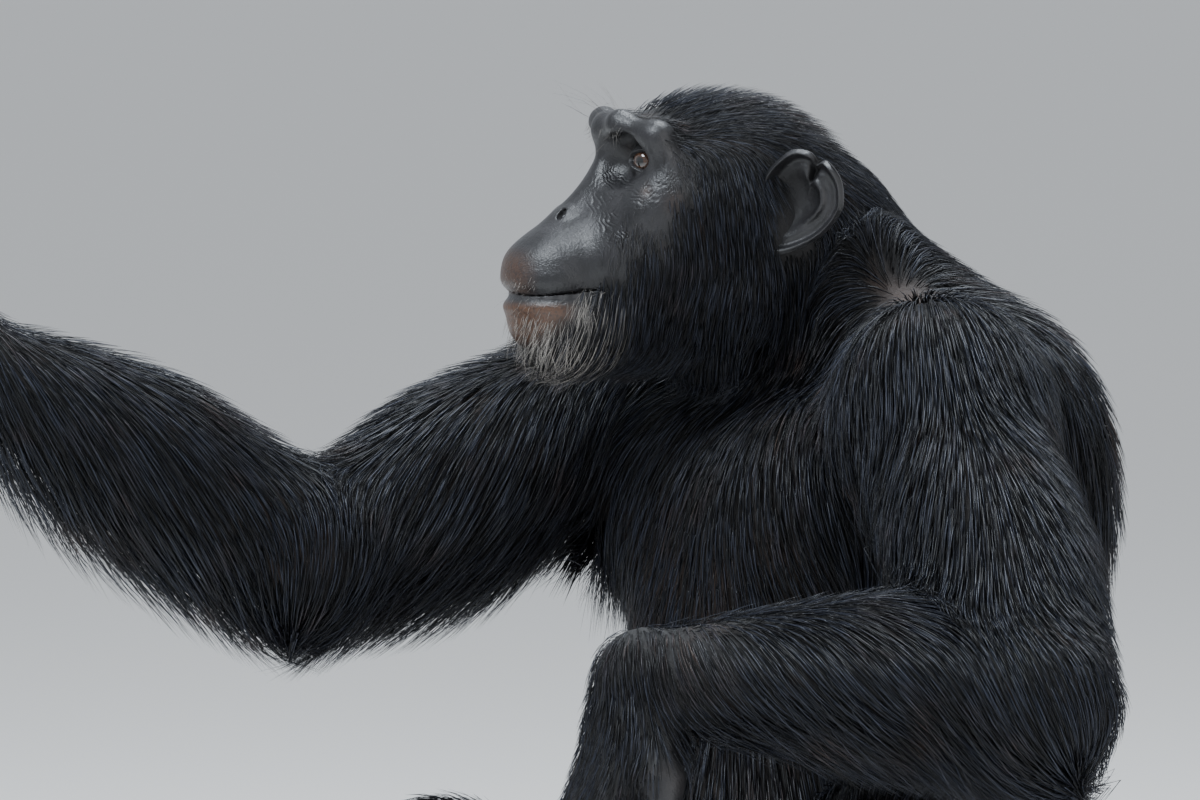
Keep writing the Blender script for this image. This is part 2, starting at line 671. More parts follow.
def relax(mesh, animal, zone, rounds):
    """Evens out the mesh in a zone while it stays on the surface."""
    for _ in range(rounds):
        form = bmesh.new()
        form.from_mesh(mesh)
        inside = np.ones(len(form.verts), dtype=bool) if zone is None else zone(coords(mesh))
        form.verts.ensure_lookup_table()
        verts = [form.verts[number] for number in np.flatnonzero(inside)]
        every_way = dict.fromkeys(("use_axis_x", "use_axis_y", "use_axis_z"), True)
        bmesh.ops.smooth_vert(form, verts=verts, factor=0.5, **every_way)
        form.to_mesh(mesh)
        form.free()
        points = coords(mesh)
        if zone is not None:
            points[inside] = settle(points[inside], animal, at_skin, 2)
        set_coords(mesh, points)


def make_skin(animal, settings):
    """One closed skin over the whole body, finest on the face."""
    cover = bmesh.new()
    for flesh in (animal.trunk, *animal.legs.values()):
        cover_forms(flesh, cover)
    made = to_piece("skin", cover)
    fuse = made.modifiers.new("fuse", "REMESH")
    fuse.mode = "VOXEL"
    fuse.voxel_size = settings.grain * 1
    apply_all(made)

    set_coords(made.data, settle(coords(made.data), animal, at_skin, 3))
    relax(made.data, animal, None, 1)
    relax(made.data, animal, in_face, 3)
    for zone, rounds in ((in_face, 1), (near_features, 2), (near_edges, 1)):
        refine(made.data, zone)
        relax(made.data, animal, zone, rounds)
    points = settle(coords(made.data), animal, at_skin, 1)
    face = in_face(points)
    found = settle(points[face], animal, at_skin, 2)
    points[face] = open_lids(found - outward(found, animal) * creases(found)[:, None])
    points[:, 2] = np.maximum(points[:, 2], FLOOR)
    set_coords(made.data, points)
    body = made.vertex_groups.new(name="body")
    body.add(np.flatnonzero(~face).tolist(), 1.0, "REPLACE")
    fewer = made.modifiers.new("fewer", "DECIMATE")
    now = sum(len(face.vertices) - 2 for face in made.data.polygons)
    fewer.ratio = min(1.0, settings.skin_triangles / now)
    fewer.use_collapse_triangulate = True
    fewer.vertex_group = "body"
    apply_all(made)
    made.vertex_groups.clear()
    return made


# the edge of the hair on the side of the head: forward at each height, in centimetres
HAIRLINE = (
    (-12.0, 19.0), (-8.6, 16.5), (-7.6, 15.0), (-6.6, 13.7), (-5.7, 12.7), (-5.0, 12.1), (-4.5, 11.6),
    (-3.6, 10.6), (-2.4, 9.6), (-0.9, 8.3), (0.8, 7.0), (2.6, 6.4), (4.3, 7.3), (5.6, 8.2), (7.0, 8.6),
)
# where the coat turns about a point on each shoulder
WHORLS = (Vector((0.078, -0.025, 0.618)), Vector((-0.078, -0.025, 0.618)))
WHORL_REACH = 0.055
# thin spots in the coat: middle, reach and how bare
THIN_SPOTS = (
    (WHORLS[0], 0.014, 0.6), (WHORLS[1], 0.014, 0.6),
    (Vector((0.040, -0.150, 0.400)), 0.055, 0.6), (Vector((-0.040, -0.150, 0.400)), 0.055, 0.6),
    (Vector((0.090, -0.110, 0.460)), 0.030, 0.5), (Vector((-0.090, -0.110, 0.460)), 0.030, 0.5),
    (ELBOW["right"] + Vector((0.032, -0.020, 0.015)), 0.022, 0.5),
)


def face_edge(points):
    """How far behind the hairline each point of the head is, in centimetres."""
    forward, left, up = in_head(points)
    heights, edge = zip(*HAIRLINE, strict=True)
    ripple = 0.25 * np.sin(up * 2.1 + left) + 0.18 * np.sin(up * 5.3 - forward * 2.0)
    return np.interp(up, heights, edge) - forward + ripple


def coat_share(points):
    """How much of the coat grows at each point: none on the bare face, palms, soles, fingers and toes."""
    names, weights = region_weights(points)
    head = weights[names.index("head")]
    share = 1 - smoothstep(0.4, 0.6, head) * smoothstep(1.5, -0.7, face_edge(points))
    for side in SIDES:
        wrist, way, _, back = hand_frame(side)
        offset = points - np.array(wrist)
        along, rise = offset @ np.array(way), offset @ np.array(back)
        on_hand = smoothstep(0.3, 0.6, weights[names.index("hand_" + side)])
        rise += 0.35 * smoothstep(0.03, 0.0, along)
        fade = smoothstep(0.150, 0.080, along) * smoothstep(-0.012, 0.006, rise)
        share = share * (1 - on_hand * (1 - fade))
        along = (points - np.array(ANKLE[side])) @ np.array(TOE_WAY[side].normalized())
        on_foot = smoothstep(0.3, 0.6, weights[names.index("foot_" + side)])
        fade = smoothstep(0.095, 0.04, along) * smoothstep(0.018, 0.034, points[:, 2])
        share = share * (1 - on_foot * (1 - fade))
    return share


def thin_share(points):
    """How thin the coat is at the bare spots of shoulders and chest."""
    found = np.zeros(len(points))
    for middle, reach, amount in THIN_SPOTS:
        away = ((points - np.array(middle)) ** 2).sum(1)
        found = np.maximum(found, amount * np.exp(-away / reach**2))
    return found


def bones():
    """Each region of the coat as a limb: start, end and the radius at each."""
    found = {
        "head": (head_point(12.0, 0, -3.5), head_point(-0.5, 0, 1.0), 0.046, 0.068),
        "neck": (Vector((0.0, 0.010, 0.575)), head_point(-2.0, 0, -5.0), 0.062, 0.050),
        "torso": (Vector((0.0, -0.02, 0.14)), Vector((0.0, -0.005, 0.50)), 0.125, 0.120),
    }
    for side in SIDES:
        _, way, _, _ = hand_frame(side)
        toe = TOE_WAY[side].normalized()
        found["upper_arm_" + side] = (SHOULDER[side], ELBOW[side], 0.050, 0.040)
        found["forearm_" + side] = (ELBOW[side], WRIST[side], 0.036, 0.024)
        found["hand_" + side] = (WRIST[side], WRIST[side] + way * 0.12, 0.028, 0.024)
        found["thigh_" + side] = (HIP[side], KNEE[side], 0.070, 0.050)
        found["shin_" + side] = (KNEE[side], ANKLE[side], 0.043, 0.030)
        found["foot_" + side] = (ANKLE[side], ANKLE[side] + toe * 0.10 - Vector((0, 0, 0.04)), 0.030, 0.022)
    return found


def region_weights(points):
    """How strongly each point belongs to each region, summing to one."""
    names, spans = zip(*bones().items(), strict=True)
    away = np.stack([limb_distance(points, *span) for span in spans])
    weights = np.exp(-(away - away.min(0)) / 0.012)
    return names, weights / weights.sum(0)


def lie_of_region(name, points):
    """Which way the hair lies in one region."""
    side = "left" if name.endswith("left") else "right"
    down = np.array((0.0, 0.0, -1.0))
    if name == "head":
        forward, left, up = in_head(points)
        behind = smoothstep(3.5, -1.0, forward)
        crown = smoothstep(2.2, 5.4, up)
        chin = smoothstep(9.5, 13.0, forward) * smoothstep(-3.5, -5.5, up)
        jaw = smoothstep(-1.5, -4.5, up) * (1 - chin) * (1 - behind)
        flow = np.stack([
            np.sign(left) * (0.15 + 0.10 * crown + 0.15 * chin),
            0.10 + 0.75 * behind + 1.2 * crown - 0.40 * jaw - 0.60 * chin,
            -0.10 - 1.1 * (1 - crown),
        ], axis=1)
        return unit(flow) @ np.array(Matrix.Rotation(HEAD_TURN, 3, "Z")).T
    across, ahead = points[:, 0], points[:, 1]
    if name == "neck":
        return unit(np.stack([0.3 * np.tanh(across * 20), 0.40 + 0 * ahead, -np.ones(len(points))], axis=1))
    if name == "torso":
        return unit(np.stack([0.45 * np.tanh(across * 12), 0.15 + ahead, -np.ones(len(points))], axis=1))
    # along the limb, how strongly, and how strongly down
    way, strength, sink = {
        "upper_arm": ((ELBOW[side] - SHOULDER[side]).normalized(), 1, 0.80),
        "forearm": ((ELBOW[side] - WRIST[side]).normalized(), 0.75, 0.65),
        "hand": (hand_frame(side)[1], 1, 0.25),
        "thigh": ((KNEE[side] - HIP[side]).normalized(), 1, 0.35),
        "shin": ((ANKLE[side] - KNEE[side]).normalized(), 1, 0.20),
        "foot": (TOE_WAY[side].normalized(), 1, 0.25),
    }[name.removesuffix("_" + side)]
    return unit(strength * np.array(way) + sink * down + np.zeros_like(points))


def lie_of_coat(points, names, weights):
    """The lie over the whole body, blended between regions and turned about the whorls on the shoulders."""
    flow = np.zeros_like(points)
    for name, weight in zip(names, weights, strict=True):
        held = weight > 0.02
        if held.any():
            flow[held] += lie_of_region(name, points[held]) * weight[held, None]
    for whorl in WHORLS:
        away = points - np.array(whorl)
        near = np.exp(-((np.linalg.norm(away, axis=1) / WHORL_REACH) ** 2))[:, None]
        flow = flow * (1 - near) + unit(away) * near * 1.2
    return unit(flow)


# length, spacing of the roots, width, and how far the tips stand off the skin, in metres
COAT = {
    "head": (0.024, 0.0021, 0.00060, 0.0045), "neck": (0.040, 0.0031, 0.00085, 0.0100),
    "torso": (0.048, 0.0043, 0.00110, 0.0125), "upper_arm": (0.048, 0.0035, 0.00095, 0.0115),
    "forearm": (0.042, 0.0033, 0.00090, 0.0105), "hand": (0.014, 0.0024, 0.00060, 0.0025),
    "thigh": (0.044, 0.0046, 0.00110, 0.0115), "shin": (0.032, 0.0040, 0.00100, 0.0095),
    "foot": (0.012, 0.0026, 0.00065, 0.0025),
}


def coat_rows(names):
    """The row of COAT for each region."""
    return np.array([COAT[name.removesuffix("_left").removesuffix("_right")] for name in names])


def coat_sizes(points, normals, names, weights, share, chance):
    """Length, width and tip lift of each tuft."""
    length, _, width, lift = (weights[:, :, None] * coat_rows(names)[:, None, :]).sum(0).T
    torso = weights[names.index("torso")]
    front = torso * smoothstep(-0.2, -0.7, normals[:, 1])
    length = length * (1 - 0.30 * front)
    lift = lift * (1 - 0.45 * front)
    under = np.maximum(0, -normals[:, 2] - 0.15)
    arms = sum(weight for name, weight in zip(names, weights, strict=True) if "arm_" in name)
    lift = lift * (1 + 3.2 * under * (0.35 + 0.65 * arms)) * (1 - 0.25 * np.maximum(0, normals[:, 2]))
    length = length * (1 + 1.30 * under * arms)
    for side in SIDES:
        near = np.exp(-((distance_to(points, ELBOW[side]) / 0.065) ** 2))
        length, lift = length * (1 - 0.45 * near), lift * (1 - 0.45 * near)
    head = weights[names.index("head")]
    beard = beard_share(points) * head
    _, _, up = in_head(points)
    lift = lift + 0.008 * head * smoothstep(3.2, 5.8, up)
    length = length * (1 - head * 0.55 * (1 - share)) * (1 + 0.15 * beard)
    lift = lift * (1 - head * 0.6 * (1 - share)) * (1 + 0.9 * beard)
    width = width * (1 - 0.25 * beard)
    count = len(points)
    length = length * chance.uniform(0.65, 1.25, count)
    lowest = 0.35 + 0.4 * head
    rise = lowest + (1.25 - 0.15 * head - lowest) * chance.random(count)
    return length, width * chance.uniform(0.7, 1.3, count), lift * rise


def near_ear(points):
    """The skin under the ears, which is bare."""
    forward, left, up = in_head(points)
    inside = ((forward - 0.3) / 1.5) ** 2 + ((up - 0.2) / 2.4) ** 2
    return smoothstep(1.15, 0.85, inside) * (np.abs(left) > 3.5) * (np.abs(left) < 9)


def scatter(mesh, chance, settings):
    """Roots spread evenly over the skin's mesh, closest together where the coat is shortest."""
    mesh.calc_loop_triangles()
    corners = np.empty(len(mesh.loop_triangles) * 3, dtype=np.int64)
    mesh.loop_triangles.foreach_get("vertices", corners)
    triangles = coords(mesh)[corners.reshape(-1, 3)]
    sides = triangles[:, 1:] - triangles[:, :1]
    area = np.linalg.norm(np.cross(sides[:, 0], sides[:, 1]), axis=1) / 2
    count = settings.candidates // 1
    picked = chance.choice(len(triangles), count, p=area / area.sum())
    first, second = chance.random(count), chance.random(count)
    over = first + second > 1
    first[over], second[over] = 1 - first[over], 1 - second[over]
    corner = triangles[picked]
    points = corner[:, 0] + first[:, None] * (corner[:, 1] - corner[:, 0])
    points += second[:, None] * (corner[:, 2] - corner[:, 0])
    growth = coat_share(points) * (1 - thin_share(points))
    growth = growth * (1 - 0.45 * beard_share(points)) * (1 - near_ear(points))
    points = points[chance.random(count) < growth]
    names, weights = region_weights(points)
    nearest = weights.argmax(0)
    spacing = coat_rows(names)[nearest, 1] * 1 / settings.density
    cells = np.column_stack([np.floor(points / spacing[:, None]).astype(np.int64), nearest])
    _, kept = np.unique(cells, axis=0, return_index=True)
    kept.sort()
    return points[kept], names, weights[:, kept]


def comb(roots, animal, lie, length, lift):
    """The centre line of each tuft, at its root, a third, two thirds and its tip, over the skin."""

    def at(height):
        return lambda _: height

    facing = outward(roots, animal)
    line, before = [roots - facing * ROOT_DEPTH], 0.0
    ground = roots
    for share in TUFT_SHARES:
        way = lie(ground)
        way = unit(way - (way * facing).sum(1)[:, None] * facing)
        rise = lift * share**0.75
        ground = settle(ground + way * ((share - before) * length)[:, None], animal, at(rise), 1)
        facing = outward(ground, animal)
        line.append(ground)
        before = share
    return np.array(line), facing


def chart_places(roots, names, weights):
    """Each root's place on an unwrap of the skin: every region is a tube cut open along its back."""
    nearest = weights.argmax(0)
    found = np.zeros((len(roots), 2))
    columns = 4
    for number, (start, end, _, _) in enumerate(bones().values()):
        held = nearest == number
        if not held.any():
            continue
        along = np.array(end - start)
        size = np.linalg.norm(along)
        axis = along / size
        side = np.cross(axis, (0.31, 0.95, 0.05))
        side /= np.linalg.norm(side)
        other = np.cross(axis, side)
        offset = roots[held] - np.array(start)
        turn = np.arctan2(offset @ other, offset @ side) / (2 * math.pi) + 0.5
        share = np.clip((offset @ axis / size + 0.6) / 2.2, 0, 1)
        row, column = divmod(number, columns)
        place = np.column_stack([column + 0.04 + 0.92 * turn, row + 0.04 + 0.92 * share])
        found[held] = place / columns
    return found


# the faces of one tuft, and its patch of the coat's unwrap, a point for each of its eight corners
TUFT_FACES = np.array([
    (0, 2, 1), (0, 3, 2), (0, 1, 3),
    (1, 2, 5), (1, 5, 4), (2, 3, 6), (2, 6, 5), (3, 1, 4), (3, 4, 6),
    (4, 5, 7), (5, 6, 7), (6, 4, 7),
])
TUFT_PATCH = np.array([
    (0, -1.5), (-1.2, -0.6), (1.2, -0.6), (0, -0.3), (-0.9, 0.6), (0.9, 0.6), (0, 0.9), (0, 1.5)
]) * 0.001


def tuft_mesh(name, line, facing, width, tint, pale, places):
    """Thin closed spindles of three sides, one to a tuft, joined in one mesh."""
    count = line.shape[1]
    verts = np.empty((count, 8, 3))
    verts[:, 0], verts[:, 7] = line[0], line[3]
    for ring, (before, here, after, share) in enumerate(((0, 1, 2, 1.0), (1, 2, 3, 0.72))):
        along = unit(line[after] - line[before])
        across = unit(np.cross(along, facing))
        out = np.cross(across, along)
        half = (width * share / 2)[:, None]
        verts[:, 1 + ring * 3] = line[here] + across * half
        verts[:, 2 + ring * 3] = line[here] - across * half
        verts[:, 3 + ring * 3] = line[here] + out * half * 0.8
    mesh = bpy.data.meshes.new(name)
    mesh.vertices.add(count * 8)
    mesh.vertices.foreach_set("co", verts.astype(np.float32).ravel())
    faces = (TUFT_FACES[None] + 8 * np.arange(count)[:, None, None]).reshape(-1, 3)
    mesh.loops.add(faces.size)
    mesh.loops.foreach_set("vertex_index", faces.ravel().astype(np.int32))
    mesh.polygons.add(len(faces))
    mesh.polygons.foreach_set("loop_start", np.arange(0, faces.size, 3, dtype=np.int32))
    patch = mesh.uv_layers.new(name="OFBake")
    spots = (places[:, None, :] + TUFT_PATCH[None]).reshape(-1, 2)[faces.ravel()]
    patch.data.foreach_set("uv", np.clip(spots, 0, 1).astype(np.float32).ravel())
    mesh.update(calc_edges=True)
    point_attribute(mesh, "tint", np.repeat(tint, 8))
    point_attribute(mesh, "pale", np.repeat(pale, 8))
    point_attribute(mesh, "along", np.tile(np.repeat((0, *TUFT_SHARES), (1, 3, 3, 1)), count))
    return mesh


def beard_share(points):
    """The chin and the corners of the mouth, where the hair is whitish and stands away."""
    forward, _, up = in_head(points)
    return smoothstep(8.6, 11.5, forward) * smoothstep(-3.9, -5.0, up)


# loose hairs of the face: count, middle, spread, length, width, lift, lie in the head's frame and paleness
FACE_HAIR = (
    (9, (9.9, 1.7, 5.4), (0.4, 1.3, 0.30), 0.024, 0.00020, 0.0190, (0.7, 0.1, 0.5), 0.45),
    (28, (10.1, 2.3, 4.9), (0.3, 0.9, 0.35), 0.007, 0.00020, 0.0040, (0.3, 0.2, -0.7), 0.40),
    (160, (8.7, 3.0, 5.7), (0.6, 1.4, 0.3), 0.011, 0.00026, 0.0030, (-0.9, 0.3, 0.3), 0.12),
    (50, (15.2, 1.6, -4.2), (1.0, 1.5, 0.35), 0.0030, 0.00018, 0.0012, (0.5, 0.1, -0.8), 0.7),
    (150, (14.2, 1.8, -6.3), (1.5, 1.3, 0.75), 0.007, 0.00019, 0.0032, (0.3, 0.1, -0.9), 0.80),
    (170, (13.6, 1.8, -7.2), (1.3, 1.3, 0.6), 0.016, 0.00020, 0.0080, (0.3, 0.1, -0.9), 0.85),
    (90, (12.1, 3.4, -5.3), (0.6, 0.5, 0.8), 0.014, 0.00020, 0.0062, (0.2, 0.3, -0.9), 0.75),
    (420, (9.0, 5.0, -1.9), (1.1, 1.0, 1.6), 0.008, 0.00024, 0.0012, (0.1, 0.1, -1.0), 0.10),
    (160, (6.9, 5.6, 2.3), (0.7, 0.5, 1.6), 0.009, 0.00024, 0.0012, (-0.3, 0.1, -1.0), 0.10),
)


class Term:
    """A socket in a material's nodes that maths can be written with."""

    def __init__(self, finish, socket):
        self.finish, self.socket = finish, socket

    def maths(self, operation, *values):
        return self.finish.node("ShaderNodeMath", {"operation": operation}, dict(enumerate(values)))

    def __add__(self, other):
        return self.maths("ADD", self, other)

    def __sub__(self, other):
        return self.maths("SUBTRACT", self, other)

    def __rsub__(self, other):
        return self.maths("SUBTRACT", other, self)

    def __mul__(self, other):
        return self.maths("MULTIPLY", self, other)

    __radd__ = __add__
    __rmul__ = __mul__

    def ramp(self, low, high):
        """From 0 at low to 1 at high, eased."""
        eased = {"interpolation_type": "SMOOTHSTEP"}
        return self.finish.node("ShaderNodeMapRange", eased, {0: self, 1: low, 2: high, 3: 0.0, 4: 1.0})


class Finish:
    """A material under construction."""

    def __init__(self, name):
        self.material = bpy.data.materials.new(name)
        self.material.use_nodes = True
        self.tree = self.material.node_tree
        self.shader = self.tree.nodes["Principled BSDF"]

    def node(self, kind, settings=None, inputs=None, output=0):
        """Adds one node. Settings come first, then the values and links of its sockets."""
        made = self.tree.nodes.new(kind)
        for key, value in (settings or {}).items():
            setattr(made, key, value)
        for key, value in (inputs or {}).items():
            socket = made.inputs[key]
            if isinstance(value, Term):
                self.tree.links.new(value.socket, socket)
            elif isinstance(value, tuple) and len(value) == 3 and len(socket.default_value) == 4:
                socket.default_value = (*value, 1)
            else:
                socket.default_value = value
        return Term(self, made.outputs[output])

    def attribute(self, name):
        return self.node("ShaderNodeAttribute", {"attribute_name": name}, output="Fac")

    def place(self):
        return self.node("ShaderNodeTexCoord", output="Object")

    def noise(self, size, detail, roughness=0.5):
        """Soft noise of about 0 to 1 with features of that size in metres."""
        values = {"Vector": self.place(), "Scale": 1 / size, "Detail": detail, "Roughness": roughness}
        return self.node("ShaderNodeTexNoise", None, values, output="Fac")

    def cells(self, size):
        """The distance from the middle of the nearest cell of about that size in metres."""
        values = {"Vector": self.place(), "Scale": 1 / size}
        return self.node("ShaderNodeTexVoronoi", None, values, output="Distance")

    def blend(self, first, second, factor):
        return self.node("ShaderNodeMix", {"data_type": "RGBA"}, {0: factor, 6: first, 7: second}, output=2)

    def bump(self, height, strength, distance):
        values = {"Height": height, "Strength": strength, "Distance": distance}
        return self.node("ShaderNodeBump", None, values, output="Normal")

    def set(self, **values):
        for key, value in values.items():
            socket = self.shader.inputs[key.replace("_", " ")]
            if isinstance(value, Term):
                self.tree.links.new(value.socket, socket)
            elif isinstance(value, tuple):
                socket.default_value = (*value, 1)
            else:
                socket.default_value = value
        return self.material


def skin_finish(colours):
    """Dark leathery skin with pores, fine creases and tan patches, near black under the coat."""
    made = Finish("skin")
    bare, tan = made.attribute("bare"), made.attribute("tan")
    mottle = made.noise(0.012, 4.0)
    speck = made.noise(0.0016, 2.0)
    face = made.blend(tuple(colours.face), tuple(colours.face_light), mottle.ramp(0.35, 0.75))
    face = made.blend(face, tuple(colours.lip), made.attribute("lip"))
    face = made.blend(face, tuple(colours.tan), tan * (0.35 + 0.65 * speck.ramp(0.25, 0.6)))
    patches = made.noise(0.03, 3.0).ramp(0.5, 0.8) * 0.5 + made.attribute("brown")
    under = made.blend(tuple(colours.under_coat), tuple(colours.brown), patches)
    pores = made.cells(0.0011)
    creases = made.noise(0.0030, 5.0, roughness=0.6)
    height = pores * 0.20 + creases * 0.8 + made.noise(0.0006, 1.0) * 0.15
    return made.set(
        Base_Color=made.blend(under, face, bare),
        Roughness=0.70 - 0.36 * bare + 0.18 * (speck - 0.5) + 0.10 * mottle,
        Normal=made.bump(height, 0.55, 0.0010),
        Specular_IOR_Level=0.55,
    )


def coat_finish(colours):
    """Black hair with a blue grey sheen, some of it brown, whitish where it is pale."""
    made = Finish("fur")
    tint, pale, along = made.attribute("tint"), made.attribute("pale"), made.attribute("along")
    dark = made.blend(tuple(colours.hair_black), tuple(colours.hair_blue), tint.ramp(0.30, 0.85))
    brown = made.noise(0.05, 2.0).ramp(0.50, 0.78) * tint.ramp(0.45, 0.95)
    dark = made.blend(dark, tuple(colours.hair_brown), brown)
    root = made.blend(tuple(colours.hair_black), dark, along.ramp(0.0, 0.6))
    return made.set(
        Base_Color=made.blend(root, tuple(colours.hair_pale), pale),
        Roughness=0.46 - 0.14 * tint + 0.08 * pale,
        Specular_IOR_Level=0.35,
    )


class SkinSettings(bpy.types.PropertyGroup):
    """The skin's mesh and colours."""

    grain: FloatProperty(
        name="Grain", description="Spacing of the skin's first mesh", default=0.0026, min=0.0015, max=0.01,
        unit="LENGTH", precision=4,
    )
    skin_triangles: IntProperty(
        name="Skin triangles", description="Triangles kept in the skin", default=192000, min=20000,
        max=199000,
    )
    face: FloatVectorProperty(
        name="Face", description="Colour of the bare face", default=(0.008, 0.0078, 0.009), subtype="COLOR",
        min=0, max=1,
    )
    face_light: FloatVectorProperty(
        name="Face, worn", description="Paler mottling of the face", default=(0.018, 0.017, 0.019),
        subtype="COLOR", min=0, max=1,
    )
    tan: FloatVectorProperty(
        name="Tan", description="Patches on the lips and chin", default=(0.085, 0.040, 0.021),
        subtype="COLOR", min=0, max=1,
    )
    lip: FloatVectorProperty(
        name="Lip", description="Rim of the lower lip", default=(0.080, 0.076, 0.078), subtype="COLOR",
        min=0, max=1,
    )
    under_coat: FloatVectorProperty(
        name="Under the coat", description="Skin below the hair", default=(0.005, 0.0045, 0.005),
        subtype="COLOR", min=0, max=1,
    )
    brown: FloatVectorProperty(
        name="Brown skin", description="Skin where the coat is thin", default=(0.050, 0.026, 0.016),
        subtype="COLOR", min=0, max=1,
    )


class CoatSettings(bpy.types.PropertyGroup):
    """The coat's density and colours."""

    candidates: IntProperty(
        name="Candidates", description="Places tried before they are thinned to an even spread",
        default=520000, min=10000, max=2000000,
    )
    density: FloatProperty(
        name="Density", description="Closeness of the roots", default=1.0, min=0.3, max=2.0, subtype="FACTOR"
    )
    hair_black: FloatVectorProperty(
        name="Black", description="Darkest hair", default=(0.003, 0.003, 0.004), subtype="COLOR", min=0, max=1
    )
    hair_blue: FloatVectorProperty(
        name="Blue grey", description="Sheen of the hair", default=(0.024, 0.028, 0.042), subtype="COLOR",
        min=0, max=1,
    )
    hair_brown: FloatVectorProperty(
        name="Brown", description="Browner hair", default=(0.045, 0.027, 0.018), subtype="COLOR", min=0, max=1
    )
    hair_pale: FloatVectorProperty(
        name="Pale", description="Hair of the chin and lips", default=(0.45, 0.42, 0.38), subtype="COLOR",
        min=0, max=1,
    )


class EyeSettings(bpy.types.PropertyGroup):
    """The eyes."""

    gaze: FloatProperty(
        name="Gaze", description="How far the eyes look to the animal's left", default=math.radians(42),
        min=-1.0, max=1.0, unit="ROTATION",
    )
    iris: FloatVectorProperty(
        name="Iris", description="Colour of the iris", default=(0.065, 0.026, 0.010), subtype="COLOR",
        min=0, max=1,
    )


class StageSettings(bpy.types.PropertyGroup):
    """The floor, lights and camera."""

    floor: FloatVectorProperty(
        name="Floor", description="Colour of the floor", default=(0.82, 0.81, 0.79), subtype="COLOR",
        min=0, max=1,
    )
    key_power: FloatProperty(
        name="Key light", description="Power of the main light", default=110.0, min=0, unit="POWER"
    )
    lens: FloatProperty(name="Lens", description="Focal length", default=250.0, min=20, unit="CAMERA")


def ear_point(around, share, face, sign):
    """A point of the ear and how dark it is.

    around runs from its free rear edge over the top, share from the cup to the rim, face from back to front.
    """
    rear, top = math.cos(around), math.sin(around)

    def bump(value, middle, reach):
        return math.exp(-(((value - middle) / reach) ** 2))

    outline = 1 + 0.08 * math.cos(2 * around - 0.9) - 0.08 * max(0.0, -top) * max(0.0, rear)
    outline += 0.06 * bump(around, 0.60, 0.32) - 0.17 * bump(around, EAR_NOTCH, 0.12)
    outline += 0.06 * bump(around, 1.75, 0.35)
    outline += 0.14 * bump(around, -2.0, 0.35) + 0.30 * bump(around, -2.52, 0.34)
    wide = (EAR_WIDTH / 2) * rear * outline * share
    tall = (EAR_HEIGHT / 2) * top * outline * share
    inner = math.hypot(rear * share + 0.30, top * share * 0.85 - 0.05)
    hollow = math.exp(-((inner / 0.50) ** 4))
    bend = -0.35 * (1 - share**2)
    rim = 0.46 * bump(share, 0.92, 0.065) * (1.0 - 0.45 * max(0.0, -top))
    groove = -0.12 * bump(share, 0.78, 0.08)
    ridge = 0.26 * bump(share, 0.48, 0.08) * max(0.0, 0.35 + rear) + 0.10 * bump(share, 0.62, 0.16)
    fold = -0.75 * bump(around, EAR_NOTCH, 0.13) * smoothstep(0.30, 0.62, share)
    flap = 0.30 * bump(around, 0.70, 0.22) * smoothstep(0.5, 0.85, share)
    knob = 0.50 * bump(math.hypot(rear * share + 0.78, top * share + 0.30), 0.0, 0.15)
    if face >= 0:
        lift = bend - 0.60 * hollow + (rim + groove + ridge + fold + flap + knob) * face**0.3
    else:
        lift = bend - 0.55 * hollow - (0.34 if share < 0.9 else 0.30) * abs(face) ** 0.5 + (fold + flap) * 0.8
    if share > 0.999:
        lift = bend + 0.02 + fold + flap
    across = Vector((-math.cos(EAR_FLARE), math.sin(EAR_FLARE)))
    out = Vector((math.sin(EAR_FLARE), math.cos(EAR_FLARE)))
    wide += 0.22 * min(0.0, tall)
    forward = EAR_ROOT[0] + 0.35 + across.x * (wide + EAR_WIDTH / 2) + out.x * lift
    left = EAR_ROOT[1] + 0.25 + across.y * (wide + EAR_WIDTH / 2) + out.y * lift
    up = EAR_ROOT[2] + tall - 0.10 * wide
    shade = max(hollow, 0.8 * bump(around, EAR_NOTCH, 0.16) * share) if face >= 0 else 0.0
    return head_point(forward, left * sign, up), shade


FLESH_NODES = ["head", "neck", "torso"] + [
    part + "_" + side for part in ("upper_arm", "forearm", "hand", "thigh", "shin", "foot") for side in SIDES
]


# tan and brown spots of the face: place, reach and strength
FACE_SPOTS = (
    ((7.2, 6.3, 0.6), 0.55, 0.35), ((8.9, 5.6, 1.3), 0.35, 0.30), ((3.6, 6.6, -2.2), 1.4, 0.30),
)


def tan_share(place):
    """Tan skin of the upper lip's front, the chin and the spots, at places that on_left gives."""
    forward, left, up = place.T
    found = 0.55 * smoothstep(14.6, 16.0, forward) * smoothstep(-1.9, -3.2, up) * smoothstep(-5.0, -4.7, up)
    chin = smoothstep(11.8, 14.0, forward) * smoothstep(-5.2, -5.7, up) * smoothstep(-8.6, -7.2, up)
    found = np.maximum(found, chin)
    for middle, reach, amount in FACE_SPOTS:
        found = np.maximum(found, amount * np.exp(-((distance_to(place, middle) / reach) ** 2)))
    return found


def lip_share(place):
    """The paler rim of the lower lip, just under the line of the mouth."""
    line = np.array([mouth_line(number / 8) for number in range(9)])
    away = np.linalg.norm((place + (0, 0, 0.16))[:, None, :] - line[None], axis=2).min(1)
    _, _, up = place.T
    rim = 0.45 * np.exp(-((np.maximum(0, away - 0.12) / 0.20) ** 2))
    return rim * smoothstep(-4.72, -4.85, up) * smoothstep(-5.35, -5.05, up)


def socket_share(place):
    """The hollows under the brow, where the skin is darkest."""
    offset = (place - (9.3, 2.7, 4.1)) / (1.1, 1.7, 0.95)
    return np.exp(-((offset**2).sum(1) ** 2))


